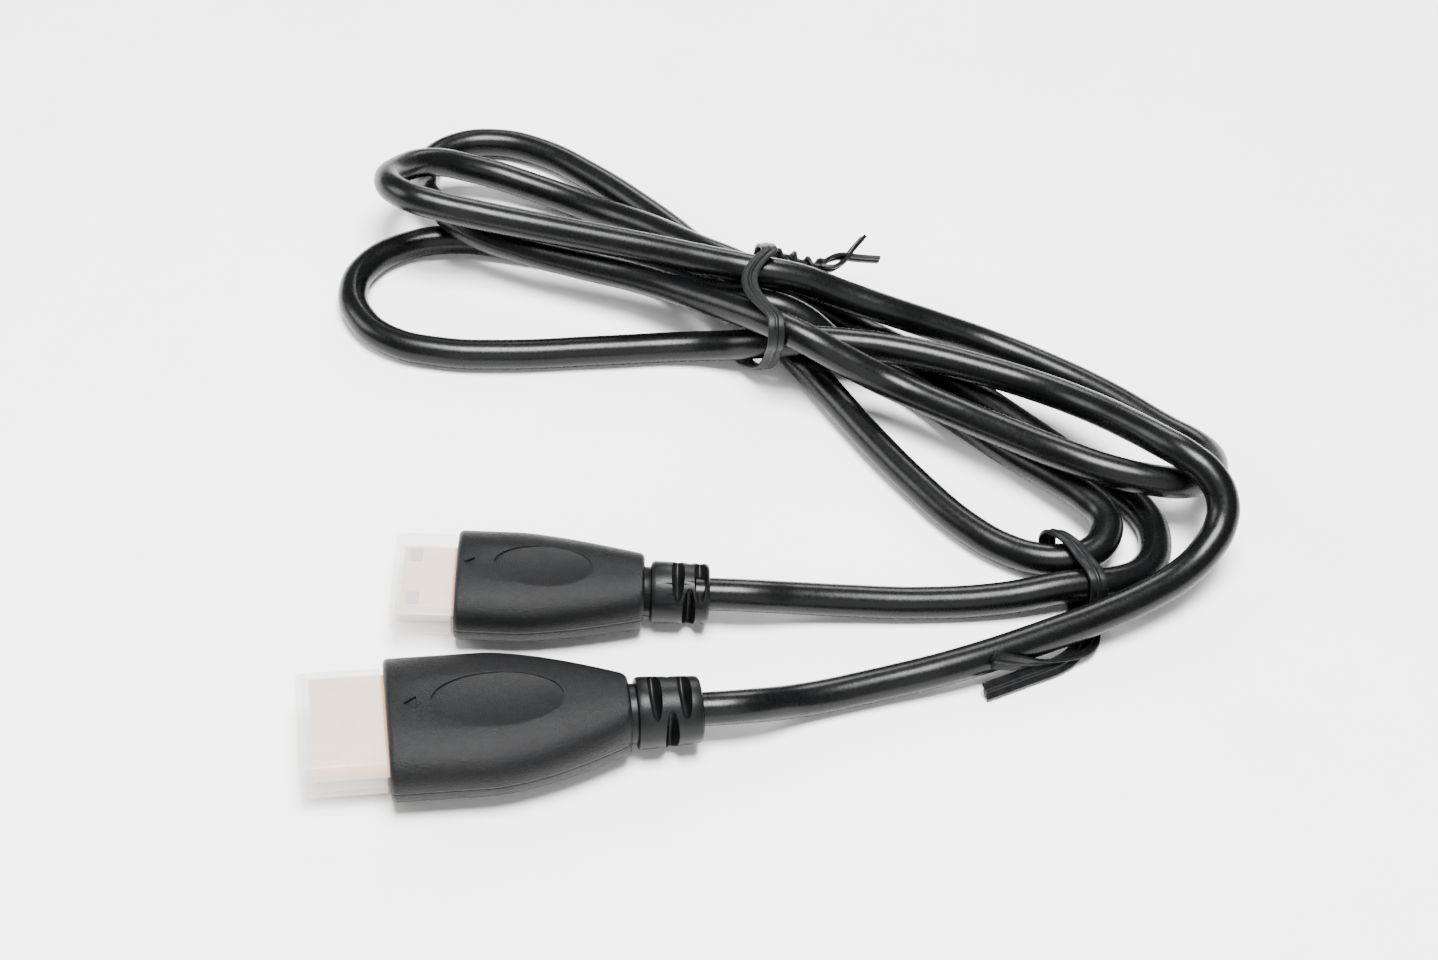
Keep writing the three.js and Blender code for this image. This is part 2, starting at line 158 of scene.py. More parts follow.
# The cable's middle line from the large plug to the mini plug, the same points as the CAD's.
ROUTE = [
    # out over the floor and round the outer loop
    (0.0375, -0.0046, 0.0027), (0.046, -0.0022, 0.0024), (0.058, 0.0009, 0.0032), (0.0695, 0.0051, 0.0038),
    (0.077, 0.0082, 0.0042), (0.083, 0.0112, 0.0046), (0.088, 0.0144, 0.0052), (0.0915, 0.0175, 0.0065),
    (0.0935, 0.0203, 0.0082), (0.0939, 0.0229, 0.0101), (0.0926, 0.0255, 0.0119), (0.09, 0.0282, 0.0128),
    (0.087, 0.0316, 0.0124), (0.084, 0.036, 0.011), (0.0795, 0.0422, 0.0087), (0.074, 0.047, 0.0074),
    (0.0675, 0.0503, 0.0072), (0.0555, 0.0547, 0.0072), (0.0485, 0.0561, 0.0072), (0.0415, 0.0567, 0.0072),
    # through the upper tie and round the front left loop
    (0.0368, 0.0574, 0.0061), (0.032, 0.0593, 0.0039), (0.0265, 0.0606, 0.0025), (0.0135, 0.06, 0.0022),
    (-0.0005, 0.0592, 0.0022), (-0.0095, 0.0598, 0.0022), (-0.0165, 0.0622, 0.0022),
    (-0.0207, 0.0668, 0.0022), (-0.0221, 0.0726, 0.0022), (-0.0202, 0.0782, 0.0022),
    (-0.0152, 0.0824, 0.0022), (-0.008, 0.0843, 0.0022), (0.0025, 0.0827, 0.0022), (0.014, 0.0795, 0.0022),
    (0.0215, 0.0766, 0.0023), (0.0278, 0.0714, 0.0039), (0.0324, 0.0664, 0.0066),
    # through the tie again and round the inner right loop
    (0.0365, 0.0638, 0.008), (0.0415, 0.0622, 0.0071), (0.048, 0.0593, 0.0032), (0.056, 0.0535, 0.0022),
    (0.0635, 0.0457, 0.0024), (0.07, 0.0378, 0.0032), (0.0744, 0.0329, 0.004), (0.0778, 0.0289, 0.0044),
    (0.0798, 0.0253, 0.0043), (0.0793, 0.0219, 0.0039), (0.077, 0.0196, 0.0034), (0.0737, 0.0188, 0.0032),
    (0.0703, 0.0193, 0.0028), (0.0666, 0.0213, 0.0023), (0.063, 0.0242, 0.0022), (0.0563, 0.0328, 0.0022),
    (0.0427, 0.056, 0.0028),
    # under the bundle and round the rear left loop
    (0.0356, 0.0682, 0.0034), (0.0276, 0.0834, 0.0022), (0.0205, 0.092, 0.0022), (0.0133, 0.0992, 0.0022),
    (0.0057, 0.105, 0.0022), (-0.0013, 0.1073, 0.0022), (-0.0074, 0.1062, 0.0022), (-0.0113, 0.1024, 0.0022),
    (-0.012, 0.0956, 0.0029), (-0.0094, 0.0869, 0.0062),
    # through the tie on top and round the upper right loop
    (-0.0045, 0.0804, 0.0071), (0.0025, 0.0766, 0.007), (0.011, 0.0732, 0.007), (0.0195, 0.0696, 0.0074),
    (0.0278, 0.0638, 0.009), (0.0334, 0.059, 0.0107), (0.0376, 0.0552, 0.0118), (0.0415, 0.0524, 0.0117),
    (0.0468, 0.05, 0.0099), (0.0535, 0.0476, 0.0075), (0.061, 0.0429, 0.0072), (0.0685, 0.0372, 0.008),
    (0.0743, 0.0327, 0.0089), (0.0805, 0.0294, 0.009), (0.0863, 0.0281, 0.0085), (0.0907, 0.0286, 0.0076),
    (0.0941, 0.0311, 0.0062), (0.0959, 0.0354, 0.0046), (0.095, 0.0397, 0.0032), (0.0915, 0.0438, 0.0024),
    (0.085, 0.0504, 0.0022), (0.0775, 0.0562, 0.0022), (0.0695, 0.0607, 0.0027), (0.061, 0.0626, 0.0049),
    (0.0542, 0.0633, 0.0072), (0.048, 0.0645, 0.009), (0.042, 0.0653, 0.0112),
    # through the tie once more and round the raised left loop
    (0.0357, 0.0659, 0.0123), (0.0286, 0.0682, 0.0122), (0.021, 0.071, 0.0119), (0.011, 0.0741, 0.0118),
    (0.0025, 0.0764, 0.012), (-0.0042, 0.0778, 0.0126), (-0.0098, 0.0787, 0.0135), (-0.0143, 0.0808, 0.0136),
    (-0.017, 0.0857, 0.0121), (-0.0155, 0.0915, 0.0097), (-0.011, 0.0959, 0.0076), (-0.0043, 0.0973, 0.005),
    (0.0055, 0.095, 0.003), (0.0145, 0.09, 0.0029), (0.0217, 0.0836, 0.005), (0.0286, 0.0757, 0.0076),
    (0.0334, 0.0722, 0.008),
    # out of the tie, round the last bend and back to the mini plug
    (0.0378, 0.0699, 0.0071), (0.043, 0.0684, 0.0042), (0.05, 0.0652, 0.0023), (0.057, 0.0598, 0.0022),
    (0.0645, 0.0527, 0.0022), (0.0718, 0.0448, 0.0022), (0.0779, 0.038, 0.0022), (0.0825, 0.0328, 0.0022),
    (0.0858, 0.028, 0.0022), (0.0865, 0.0228, 0.0022), (0.0845, 0.018, 0.0023), (0.08, 0.015, 0.0029),
    (0.0745, 0.0141, 0.0033), (0.0645, 0.0126, 0.0024), (0.054, 0.012, 0.0022), (0.045, 0.012, 0.0026),
    (0.0375, 0.0118, 0.0034),
]

# Each tie has a band round the strands, as Y, Z points of its middle line. The band leans along X as it goes
# from front to back, and bows to one side. Its loose ends are strips through X, Y, Z and roll in degrees.
UPPER_TIE = {
    "name": "upper_wire_tie",
    "middle": 0.0374,
    "lean": (0, 0.063),
    "bow": (0.0535, 0.0665, 0.0033),
    "band": [
        (0.0544, 0.0044), (0.0532, 0.008), (0.0512, 0.0116), (0.0526, 0.0145), (0.059, 0.0153),
        (0.0658, 0.0155), (0.0686, 0.0144), (0.0727, 0.011), (0.0746, 0.0074), (0.0749, 0.004),
        (0.0734, 0.0015), (0.07, 0.0005), (0.0655, 0.0005), (0.0616, 0.0006), (0.057, 0.0023),
    ],
    "ends": [
        [(0.0374, 0.0744, 0.0074, 0), (0.0405, 0.0729, 0.0088, 300), (0.0435, 0.0704, 0.0095, 600),
         (0.046, 0.0698, 0.0096, 840)],
        [(0.0454, 0.0696, 0.0096, 120), (0.0472, 0.0695, 0.0095, 120), (0.0489, 0.071, 0.0096, 120),
         (0.0502, 0.073, 0.0099, 120), (0.0519, 0.0753, 0.0101, 120)],
        [(0.0454, 0.0698, 0.0097, 120), (0.0466, 0.0709, 0.0099, 120), (0.0484, 0.0717, 0.0098, 120),
         (0.051, 0.0719, 0.0093, 120), (0.0541, 0.0719, 0.009, 120)],
    ],
}
LOWER_TIE = {
    "name": "lower_wire_tie",
    "middle": 0.075,
    "lean": (-0.42, 0.0155),
    "bow": (0.01, 0.022, -0.0008),
    "band": [
        (0.0116, 0.0033), (0.0124, 0.0055), (0.014, 0.0062), (0.0164, 0.0061), (0.019, 0.0063),
        (0.0217, 0.0054), (0.0227, 0.0034), (0.022, 0.0015), (0.0196, 0.0005), (0.014, 0.0005),
        (0.012, 0.0012),
    ],
    "ends": [
        [(0.0758, 0.0136, 0.0005, -180), (0.076, 0.0086, 0.0006, -180), (0.0748, 0.0053, 0.0009, -165),
         (0.0715, 0.0032, 0.0014, -140), (0.0675, 0.0016, 0.0024, -115), (0.0645, 0.0004, 0.0039, -80),
         (0.0613, -0.0003, 0.0053, -49)],
        [(0.0746, 0.0136, 0.0005, 0), (0.0746, 0.0086, 0.0006, 0), (0.0734, 0.005, 0.001, -20),
         (0.0708, 0.0024, 0.0013, -45), (0.066, 0.0002, 0.0013, -46), (0.0606, -0.0022, 0.0013, -46)],
    ],
}


def linear(hex_colour):
    """An sRGB hex colour as linear red, green, blue and alpha."""
    parts = [int(hex_colour[i:i + 2], 16) / 255 for i in (1, 3, 5)]
    return [c / 12.92 if c <= 0.04045 else ((c + 0.055) / 1.055) ** 2.4 for c in parts] + [1]


def add_node(tree, kind, inputs=None, **settings):
    """A node with its settings made and its inputs set or linked."""
    node = tree.nodes.new(kind)
    for name, value in settings.items():
        setattr(node, name, value)
    for name, value in (inputs or {}).items():
        if isinstance(value, bpy.types.NodeSocket):
            tree.links.new(value, node.inputs[name])
        else:
            node.inputs[name].default_value = value
    return node


def new_material(name, **shader_values):
    """A material and its tree, with its shader's plain sockets set."""
    material = bpy.data.materials.new(name)
    material.use_nodes = True
    tree = material.node_tree
    shader = tree.nodes["Principled BSDF"]
    for socket, value in shader_values.items():
        shader.inputs[socket.replace("_", " ")].default_value = value
    return material, tree, shader


def grain(tree, size, detail=2.0, roughness=0.5):
    """Noise whose grains are about one size across, read in the piece's own space."""
    place = add_node(tree, "ShaderNodeTexCoord").outputs["Object"]
    return add_node(tree, "ShaderNodeTexNoise", {
        "Vector": place, "Scale": 1 / size, "Detail": detail, "Roughness": roughness,
    }).outputs["Fac"]


def spread(tree, value, low, high):
    """The middle of a noise stretched to run from low to high."""
    return add_node(tree, "ShaderNodeMapRange", {
        "Value": value, "From Min": 0.3, "From Max": 0.7, "To Min": low, "To Max": high,
    }).outputs["Result"]


def tint(tree, value, dark, light):
    """A colour between two, by a value from 0 to 1."""
    return add_node(tree, "ShaderNodeMix", {
        "Factor": value, "A": linear(dark), "B": linear(light),
    }, data_type="RGBA").outputs["Result"]


def mould_seam_and_shade(tree, height):
    """1 on the thin line where two mould halves met, at one height over the floor, and 0 off it. It cuts the
    groove in the bump and lays painted shade along it.
    """
    place = add_node(tree, "ShaderNodeTexCoord").outputs["Object"]
    level = add_node(tree, "ShaderNodeSeparateXYZ", {"Vector": place}).outputs["Z"]
    off = add_node(tree, "ShaderNodeMath", {0: level, 1: height}, operation="SUBTRACT").outputs[0]
    away = add_node(tree, "ShaderNodeMath", {0: off}, operation="ABSOLUTE").outputs[0]
    return add_node(tree, "ShaderNodeMapRange", {
        "Value": away, "From Min": 0.07 * MM, "From Max": 0.2 * MM, "To Min": 1.0, "To Max": 0.0,
    }).outputs["Result"]


def textured_pvc(name, line_height):
    """Housing: PVC moulded in a spark-eroded mould, so its skin is a fine matte grain that glitters, with
    painted shade in the groove of its mould line.
    """
    material, tree, shader = new_material(name, IOR=1.5, Specular_IOR_Level=0.15)
    fine = grain(tree, 0.22 * MM, 3.0, 0.6)  # real grain is about 0.05 mm; drawn coarser so that it shows
    patch = grain(tree, 3 * MM)
    line = mould_seam_and_shade(tree, line_height)
    skin_colour = tint(tree, spread(tree, fine, 0, 1), "#040405", "#0f1011")
    # Painted shade: the skin is darkened along the mould line, as shade in its groove.
    tree.links.new(add_node(tree, "ShaderNodeMix", {
        "Factor": line, "A": skin_colour, "B": linear("#040405"),
    }, data_type="RGBA").outputs["Result"], shader.inputs["Base Color"])
    rough = add_node(tree, "ShaderNodeMath", {
        0: spread(tree, fine, 0.4, 0.26), 1: spread(tree, patch, 0, 0.06),
    })
    tree.links.new(rough.outputs[0], shader.inputs["Roughness"])
    skin = add_node(tree, "ShaderNodeBump", {"Strength": 1.0, "Distance": 0.12 * MM, "Height": fine})
    seam = add_node(tree, "ShaderNodeBump", {
        "Strength": 0.9, "Distance": 0.15 * MM, "Height": line, "Normal": skin.outputs["Normal"],
    }, invert=True)
    tree.links.new(seam.outputs["Normal"], shader.inputs["Normal"])
    return material


def satin_pvc(name):
    """Strain relief: the same soft PVC from a smoother mould, satin with a faint ripple."""
    material, tree, shader = new_material(name, IOR=1.53, Specular_IOR_Level=0.15)
    fine = grain(tree, 0.3 * MM, 3.0)
    ripple = grain(tree, 2 * MM)
    tree.links.new(tint(tree, spread(tree, ripple, 0, 1), "#070808", "#101112"), shader.inputs["Base Color"])
    tree.links.new(spread(tree, fine, 0.44, 0.32), shader.inputs["Roughness"])
    skin = add_node(tree, "ShaderNodeBump", {"Strength": 0.35, "Distance": 0.05 * MM, "Height": fine})
    tree.links.new(skin.outputs["Normal"], shader.inputs["Normal"])
    return material


def jacket_pvc(name):
    """Cable jacket: extruded PVC, semi-gloss, with long highlights that waver a little and fine scuffs."""
    material, tree, shader = new_material(name, IOR=1.53, Specular_IOR_Level=0.2)
    scuff = grain(tree, 0.5 * MM, 4.0, 0.65)
    waver = grain(tree, 6 * MM, 1.0)
    tree.links.new(tint(tree, spread(tree, waver, 0, 1), "#030304", "#060707"), shader.inputs["Base Color"])
    tree.links.new(spread(tree, scuff, 0.24, 0.34), shader.inputs["Roughness"])
    skin = add_node(tree, "ShaderNodeBump", {"Strength": 0.18, "Distance": 0.04 * MM, "Height": scuff})
    sway = add_node(tree, "ShaderNodeBump", {
        "Strength": 0.25, "Distance": 0.3 * MM, "Height": waver, "Normal": skin.outputs["Normal"],
    })
    tree.links.new(sway.outputs["Normal"], shader.inputs["Normal"])
    return material


def gold_plating(name):
    """Shell: stamped steel with bright gold plating, faintly brushed."""
    material, tree, shader = new_material(name, Metallic=1.0)
    brush = grain(tree, 0.4 * MM, 3.0)
    tree.links.new(tint(tree, spread(tree, brush, 0, 1), "#e3b788", "#efcda4"), shader.inputs["Base Color"])
    tree.links.new(spread(tree, brush, 0.4, 0.5), shader.inputs["Roughness"])
    return material


def carrier_resin(name):
    """Insert: glass-filled black resin that carries the contacts, dull with a fine speckle."""
    material, tree, shader = new_material(name, IOR=1.6)
    speck = grain(tree, 0.2 * MM, 3.0)
    tree.links.new(tint(tree, spread(tree, speck, 0, 1), "#0e0f10", "#1b1c1e"), shader.inputs["Base Color"])
    tree.links.new(spread(tree, speck, 0.5, 0.62), shader.inputs["Roughness"])
    return material


def milky_polyethylene(name):
    """Dust cap: soft moulded polyethylene, milky and see-through, with a waxy skin."""
    material, tree, shader = new_material(name, IOR=1.51, Alpha=0.28)
    cloud = grain(tree, 2.5 * MM)
    tree.links.new(tint(tree, spread(tree, cloud, 0, 1), "#e2ded8", "#ece9e4"), shader.inputs["Base Color"])
    tree.links.new(spread(tree, grain(tree, 0.5 * MM), 0.2, 0.3), shader.inputs["Roughness"])
    return material


def coated_wire(name):
    """Twist tie: flat plastic strip drawn over a wire, satin black with faint drag marks."""
    material, tree, shader = new_material(name, IOR=1.5, Specular_IOR_Level=0.15)
    drag = grain(tree, 0.6 * MM, 3.0)
    tree.links.new(tint(tree, spread(tree, drag, 0, 1), "#060707", "#101112"), shader.inputs["Base Color"])
    tree.links.new(spread(tree, drag, 0.36, 0.48), shader.inputs["Roughness"])
    skin = add_node(tree, "ShaderNodeBump", {"Strength": 0.25, "Distance": 0.05 * MM, "Height": drag})
    tree.links.new(skin.outputs["Normal"], shader.inputs["Normal"])
    return material


def white_sweep(name):
    """Floor: a matte white studio sheet."""
    material, tree, shader = new_material(name, Roughness=0.9)
    paper = grain(tree, 20 * MM)
    tree.links.new(tint(tree, spread(tree, paper, 0, 1), "#f7f7f7", "#fafafa"), shader.inputs["Base Color"])
    return material


def activate(piece):
    bpy.ops.object.select_all(action="DESELECT")
    piece.select_set(True)
    bpy.context.view_layer.objects.active = piece


def edit_everything(piece):
    activate(piece)
    bpy.ops.object.mode_set(mode="EDIT")
    bpy.ops.mesh.select_all(action="SELECT")


def leave_edit():
    bpy.ops.object.mode_set(mode="OBJECT")


def select_edges(piece, wanted):
    """In edit mode, only the edges whose two ends pass the test."""
    activate(piece)
    bpy.ops.object.mode_set(mode="EDIT")
    bpy.ops.mesh.select_mode(type="EDGE")
    bpy.ops.mesh.select_all(action="DESELECT")
    leave_edit()
    mesh = piece.data
    for edge in mesh.edges:
        edge.select = wanted(*(mesh.vertices[i].co for i in edge.vertices))
    bpy.ops.object.mode_set(mode="EDIT")


def face_outwards(piece):
    edit_everything(piece)
    bpy.ops.mesh.remove_doubles(threshold=0.001 * MM)
    bpy.ops.mesh.normals_make_consistent(inside=False)
    leave_edit()


def apply_modifier(piece, kind, **settings):
    activate(piece)
    modifier = piece.modifiers.new(kind.title(), kind)
    for name, value in settings.items():
        setattr(modifier, name, value)
    bpy.ops.object.modifier_apply(modifier=modifier.name)


def cut(piece, cutter):
    apply_modifier(piece, "BOOLEAN", operation="DIFFERENCE", solver="EXACT", object=cutter)
    bpy.data.objects.remove(cutter, do_unlink=True)


def soften(piece, width, segments=2, angle=35):
    apply_modifier(
        piece, "BEVEL", width=width, segments=segments, limit_method="ANGLE", angle_limit=math.radians(angle),
        harden_normals=False,
    )


def smooth(piece, angle=40):
    activate(piece)
    bpy.ops.object.shade_smooth_by_angle(angle=math.radians(angle))


def dress(piece, material, body):
    piece.data.materials.clear()
    piece.data.materials.append(material)
    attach(piece, body)


def loft(name, sections, exponent):
    """A closed body through sections that stand across X, each x, width and height."""
    bpy.ops.mesh.primitive_circle_add(vertices=LOFT_SIDES, radius=1, fill_type="NGON")
    piece = bpy.context.object
    piece.name = name
    at, width, height = sections[0]
    for vertex in piece.data.vertices:
        across, up = (math.copysign(abs(c) ** (2 / exponent), c) / 2 for c in vertex.co.xy)
        vertex.co = (at, across * width, up * height)
    edit_everything(piece)
    for (x, w, h), (last_x, last_w, last_h) in zip(sections[1:], sections):
        bpy.ops.mesh.extrude_region_move(TRANSFORM_OT_translate={"value": (x - last_x, 0, 0)})
        bpy.ops.transform.resize(value=(1, w / last_w, h / last_h), center_override=(x, 0, 0))
    leave_edit()
    face_outwards(piece)
    return piece


def block(name, centre, size):
    bpy.ops.mesh.primitive_cube_add(size=1, location=centre)
    piece = bpy.context.object
    piece.name = name
    piece.scale = size
    bpy.ops.object.transform_apply(location=True, rotation=True, scale=True)
    return piece


def lens(centre, half_sizes):
    """An egg-shaped cutter."""
    bpy.ops.mesh.primitive_uv_sphere_add(segments=48, ring_count=24, radius=1, location=centre)
    piece = bpy.context.object
    piece.scale = half_sizes
    bpy.ops.object.transform_apply(location=True, rotation=True, scale=True)
    return piece


def plug_frame(plug):
    """From a plug's own space, whose X axis is the middle of its housing, to the floor."""
    x, y = plug["front"]
    return Matrix.Translation((x, y, plug["thickness"] / 2)) @ Matrix.Rotation(plug["yaw"], 4, "Z")


def set_down(piece, plug):
    piece.matrix_world = plug_frame(plug)
    activate(piece)
    bpy.ops.object.transform_apply(location=True, rotation=True, scale=True)


def housing_sections(plug):
    """The x, width and height of each section: front edge, straight part, taper and rear edge."""
    edge = HOUSING_EDGE
    sections = []
    for step in range(CORNER_STEPS + 1):
        turn = math.radians(90) * step / CORNER_STEPS
        inset = edge * (1 - math.sin(turn))
        sections.append((
            edge * (1 - math.cos(turn)), plug["width"] - 2 * inset, plug["thickness"] - 2 * inset,
        ))
    for step in range(TAPER_STEPS + 1):
        share = step / TAPER_STEPS
        full = 1 - share ** plug["taper_power"]
        sections.append((
            plug["straight"] + share * (plug["length"] - plug["straight"]),
            plug["neck_width"] + (plug["width"] - plug["neck_width"]) * full,
            plug["neck_thickness"] + (plug["thickness"] - plug["neck_thickness"]) * full,
        ))
    x, width, height = sections[-1]
    sections[-1] = (x - REAR_EDGE, width, height)
    sections.append((x, width - 2 * REAR_EDGE, height - 2 * REAR_EDGE))
    return sections


def make_housing(plug):
    piece = loft(f"{plug['name']}_grip", housing_sections(plug), HOUSING_EXPONENT)
    top = plug["thickness"] / 2
    centre, length, width, depth = plug["recess"]
    bpy.ops.mesh.primitive_cylinder_add(
        vertices=LOFT_SIDES, radius=0.5, depth=1, location=(centre, 0, top),
    )
    oval = bpy.context.object
    oval.scale = (length, width, 2 * depth)
    bpy.ops.object.transform_apply(location=True, rotation=True, scale=True)
    cut(piece, oval)
    shell_width, shell_height, seat = plug["shell"]
    cut(piece, block("mouth", (0, 0, 0), (
        2 * (seat + PIECE_GAP), shell_width + 2 * PIECE_GAP, shell_height + 2 * PIECE_GAP,
    )))
    arrow_at, arrow_size = plug["arrow"]
    bpy.ops.mesh.primitive_cylinder_add(vertices=3, radius=arrow_size / 2, depth=ARROW_CUTTER)
    arrow = bpy.context.object
    arrow.rotation_euler = (0, 0, math.radians(90))
    arrow.location = (arrow_at, 0, top)
    bpy.ops.object.transform_apply(location=True, rotation=True, scale=True)
    cut(piece, arrow)
    soften(piece, FINE_EDGE)
    face_outwards(piece)
    smooth(piece)
    set_down(piece, plug)
    return piece


def make_strain_relief(plug):
    start = plug["length"] - SLEEVE_TUCK
    front = plug["length"] + PIECE_GAP
    end = front + plug["relief_length"]
    wide = plug["relief_diameter"]
    narrow = plug["relief_end_diameter"]
    neck = wide - 2 * SLEEVE_NECK_INSET
    edge = SLEEVE_EDGE
    piece = loft(f"{plug['name']}_sleeve", [
        (start, neck, neck),
        (front + 0.5 * MM, neck, neck),
        (front + 0.6 * MM, wide - 2 * edge, wide - 2 * edge),
        (front + 0.7 * MM, wide - 0.6 * edge, wide - 0.6 * edge),
        (front + 0.6 * MM + edge, wide, wide),
        (end - edge, narrow, narrow),
        (end - 0.3 * edge, narrow - 0.6 * edge, narrow - 0.6 * edge),
        (end, narrow - 2 * edge, narrow - 2 * edge),
    ], ROUND_EXPONENT)
    radius = wide / 2
    for at in plug["top_slots"]:
        for side in (-1, 1):
            cut(piece, lens((front + at, 0, side * radius), TOP_SLOT))
    for at in plug["side_slots"]:
        for side in (-1, 1):
            cut(piece, lens((front + at, side * radius, 0), SIDE_SLOT))
    soften(piece, FINE_EDGE)
    face_outwards(piece)
    smooth(piece)
    set_down(piece, plug)
    return piece


def make_cap(plug):
    shell_width, shell_height, _ = plug["shell"]
    length = plug["cap_length"]
    mouth = -PIECE_GAP
    hollow = (
        length - CAP_TIP_WALL + CAP_CORNER, shell_width + 2 * CAP_SLACK, shell_height + 2 * CAP_SLACK,
    )
    width = hollow[1] + 2 * plug["cap_side_wall"]
    height = hollow[2] + 2 * plug["cap_wall"]
    piece = block(f"{plug['name']}_dust_cap", (mouth - length / 2, 0, 0), (length, width, height))
    select_edges(piece, lambda a, b: min(a.x, b.x) < mouth - length / 2)
    bpy.ops.mesh.bevel(offset=CAP_CORNER, segments=5, profile=0.5, affect="EDGES")
    leave_edit()
    cut(piece, block("hollow", (mouth + CAP_CORNER - hollow[0] / 2, 0, 0), hollow))
    soften(piece, CAP_EDGE, angle=50)
    face_outwards(piece)
    smooth(piece)
    set_down(piece, plug)
    return piece


def cable_end(plug):
    """Where the cable leaves a plug's strain relief, and the way it points there."""
    frame = plug_frame(plug)
    reach = plug["length"] + PIECE_GAP + plug["relief_length"] + PIECE_GAP
    out = frame.to_3x3() @ Vector((1, 0, 0))
    return frame @ Vector((reach, 0, 0)), out


def make_cable():
    start, start_out = cable_end(LARGE_PLUG)
    end, end_out = cable_end(MINI_PLUG)
    points = [
        start - start_out * CABLE_TUCK, start + start_out * CABLE_STRAIGHT,
        *(Vector(point) for point in ROUTE),
        end + end_out * CABLE_STRAIGHT, end - end_out * CABLE_TUCK,
    ]
    curve = bpy.data.curves.new("jacket", "CURVE")
    curve.dimensions = "3D"
    curve.bevel_depth = CABLE_DIAMETER / 2
    curve.bevel_resolution = 8
    curve.use_fill_caps = True
    curve.resolution_u = 8
    curve.render_resolution_u = 8
    spline = curve.splines.new("BEZIER")
    spline.bezier_points.add(len(points) - 1)
    for knot, point in zip(spline.bezier_points, points):
        knot.co = point
        knot.handle_left_type = knot.handle_right_type = "AUTO"
    piece = bpy.data.objects.new("jacket", curve)
    bpy.context.collection.objects.link(piece)
    return piece


def smooth_line(points, steps, closed=False):
    """Points spaced along a smooth curve through the given ones."""
    points = [Vector(point) for point in points]
    count = len(points)
    if closed:
        def at(i):
            return points[i % count]
    else:
        def at(i):
            return points[max(0, min(count - 1, i))]
    spans = count if closed else count - 1
    line = []
    for step in range(steps + 1):
        place = spans * step / steps
        i = min(int(place), spans - 1)
        t = place - i
        a, b, c, d = at(i - 1), at(i), at(i + 1), at(i + 2)
        line.append((2 * b + (c - a) * t + (2 * a - 5 * b + 4 * c - d) * t ** 2
                     + (3 * b - a - 3 * c + d) * t ** 3) / 2)
    return line


def ridge(line):
    """The wire that runs along the middle of a tie and stands out on both faces."""
    curve = bpy.data.curves.new("wire", "CURVE")
    curve.dimensions = "3D"
    curve.bevel_depth = TIE_WIRE / 2
    curve.bevel_resolution = 3
    curve.use_fill_caps = True
    spline = curve.splines.new("POLY")
    spline.points.add(len(line) - 1)
    for knot, point in zip(spline.points, line):
        knot.co = (*point, 1)
    piece = bpy.data.objects.new("wire", curve)
    bpy.context.collection.objects.link(piece)
    activate(piece)
    bpy.ops.object.convert(target="MESH")
    smooth(bpy.context.object)
    return bpy.context.object


def strip(line, across):
    """A flat strip whose middle follows a line, with its width along one direction at each point."""
    steps = len(line) - 1
    bpy.ops.mesh.primitive_grid_add(x_subdivisions=steps, y_subdivisions=4, size=2)
    piece = bpy.context.object
    for vertex in piece.data.vertices:
        step = round((vertex.co.x + 1) / 2 * steps)
        vertex.co = line[step] + across[step] * vertex.co.y * TIE_WIDTH / 2
    face_outwards(piece)
    apply_modifier(piece, "SOLIDIFY", thickness=TIE_THICKNESS, offset=0)
    soften(piece, TIE_EDGE, segments=3, angle=60)
    smooth(piece, 50)
    return [piece, ridge(line)]


def tie_band(tie):
    """The part of a tie that goes round the strands."""
    slope, about = tie["lean"]
    low, high, depth = tie["bow"]
    line = []
    for point in smooth_line([(0, y, z) for y, z in tie["band"]], 2 * STRIP_STEPS, closed=True):
        share = min(1, max(0, (point.y - low) / (high - low)))
        shift = slope * (point.y - about) - depth * math.sin(math.pi * share)
        line.append(point + Vector((tie["middle"] + shift, 0, 0)))
    return strip(line, [Vector((1, 0, 0))] * len(line))


def tie_end(points):
    """A loose end of a tie, turned over about its own line by the rolls of its points."""
    line = smooth_line([point[:3] for point in points], STRIP_STEPS)
    across = []
    for i in range(len(line)):
        place = (len(points) - 1) * i / STRIP_STEPS
        span = min(int(place), len(points) - 2)
        roll = points[span][3] + (points[span + 1][3] - points[span][3]) * (place - span)
        ahead = line[min(i + 1, STRIP_STEPS)] - line[max(i - 1, 0)]
        flat = ahead.cross(Vector((0, 0, 1))).normalized()
        across.append(Matrix.Rotation(math.radians(roll), 3, ahead) @ flat)
    return strip(line, across)


def make_tie(tie):
    parts = tie_band(tie)
    for points in tie["ends"]:
        parts += tie_end(points)
    activate(parts[0])
    for part in parts:
        part.select_set(True)
    bpy.ops.object.join()
    piece = bpy.context.object
    piece.name = tie["name"]
    return piece


def make_camera():
    data = bpy.data.cameras.new("photo_camera")
    data.sensor_width = SENSOR_WIDTH
    data.lens = SENSOR_WIDTH * FOCAL_PIXELS / PHOTO_WIDTH
    data.shift_x = (PHOTO_WIDTH / 2 - LENS_CENTRE_X) / PHOTO_WIDTH
    data.clip_start = 0.01
    camera = bpy.data.objects.new("photo_camera", data)
    camera.location = CAMERA_PLACE
    camera.rotation_euler = (math.radians(90) - CAMERA_TILT_DOWN, 0, 0)
    bpy.context.collection.objects.link(camera)
    bpy.context.scene.camera = camera


def add_softbox(name, place, size, power):
    """A square area light that faces the middle of the hank."""
    data = bpy.data.lights.new(name, "AREA")
    data.size = size
    data.energy = power
    light = bpy.data.objects.new(name, data)
    light.location = place
    light.rotation_euler = (Vector((0.035, 0.04, 0)) - Vector(place)).to_track_quat("-Z", "Y").to_euler()
    bpy.context.collection.objects.link(light)


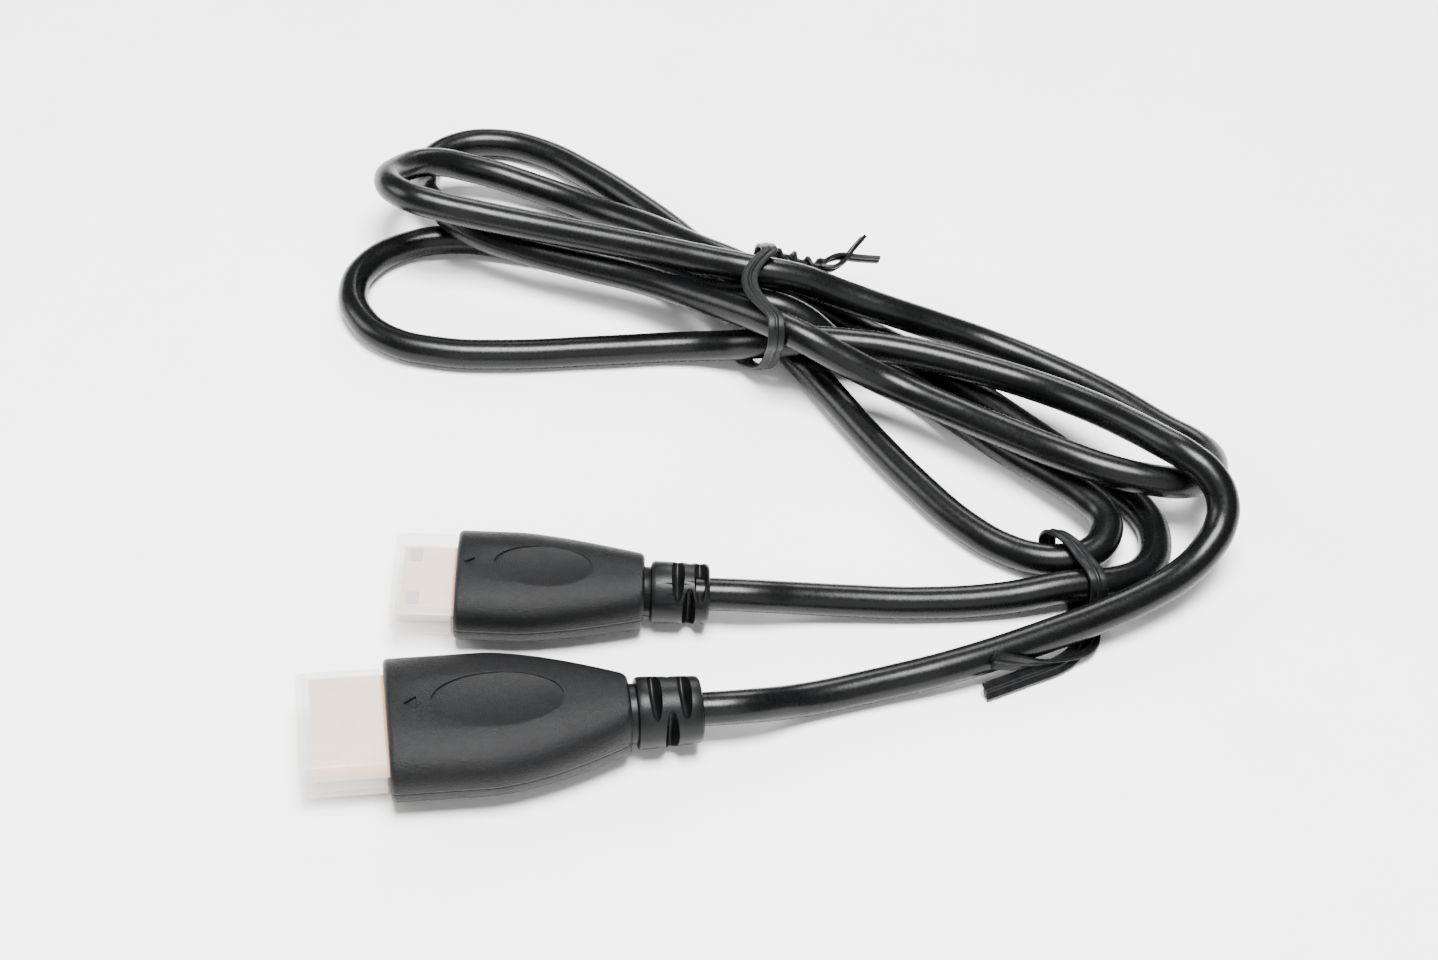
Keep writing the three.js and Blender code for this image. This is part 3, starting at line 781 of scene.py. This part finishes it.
def light_studio():
    add_softbox("overhead_softbox", (0.03, -0.04, 0.75), 0.34, 26)
    add_softbox("front_softbox", (0.1, -0.75, 0.35), 0.8, 4)
    add_softbox("left_softbox", (-0.7, 0.15, 0.4), 0.4, 5)
    add_softbox("back_softbox", (0.2, 0.8, 0.5), 0.3, 4)
    world = bpy.data.worlds.new("studio")
    world.use_nodes = True
    backdrop = world.node_tree.nodes["Background"]
    backdrop.inputs["Color"].default_value = (1, 1, 1, 1)
    backdrop.inputs["Strength"].default_value = 0.3
    bpy.context.scene.world = world


def lay_floor():
    bpy.ops.mesh.primitive_plane_add(size=4)
    floor = bpy.context.object
    floor.name = "studio_floor"
    floor.data.materials.append(white_sweep("white_sweep"))


def dress_node(frame, node, material):
    mesh = frame["nodes"][node].data
    mesh.materials.clear()
    mesh.materials.append(material)


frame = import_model()
bpy.ops.object.select_all(action="DESELECT")
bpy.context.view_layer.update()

make_camera()

cable = make_cable()
upper_tie = make_tie(UPPER_TIE)
lower_tie = make_tie(LOWER_TIE)
dress(cable, jacket_pvc("jacket_pvc"), "cable_set")
tie_plastic = coated_wire("coated_tie_wire")
dress(upper_tie, tie_plastic, "cable_set")
dress(lower_tie, tie_plastic, "cable_set")
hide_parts("cable")
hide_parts("upper_twist_tie")
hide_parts("lower_twist_tie")

sleeve_pvc = satin_pvc("satin_sleeve_pvc")
cap_plastic = milky_polyethylene("milky_polyethylene")
shell_plating = gold_plating("gold_plated_steel")
insert_resin = carrier_resin("carrier_resin")
for plug, cap_body in ((LARGE_PLUG, "large_cap"), (MINI_PLUG, "mini_cap")):
    name = plug["name"]
    housing = make_housing(plug)
    dress(housing, textured_pvc(f"{name}_textured_pvc", plug["thickness"] / 2), "cable_set")
    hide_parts(f"{name}_housing")
    relief = make_strain_relief(plug)
    dress(relief, sleeve_pvc, "cable_set")
    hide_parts(f"{name}_strain_relief")
    cap = make_cap(plug)
    dress(cap, cap_plastic, cap_body)
    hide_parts(f"{name}_cap")
    dress_node(frame, f"{name}_shell", shell_plating)
    dress_node(frame, f"{name}_insert", insert_resin)

lay_floor()
light_studio()
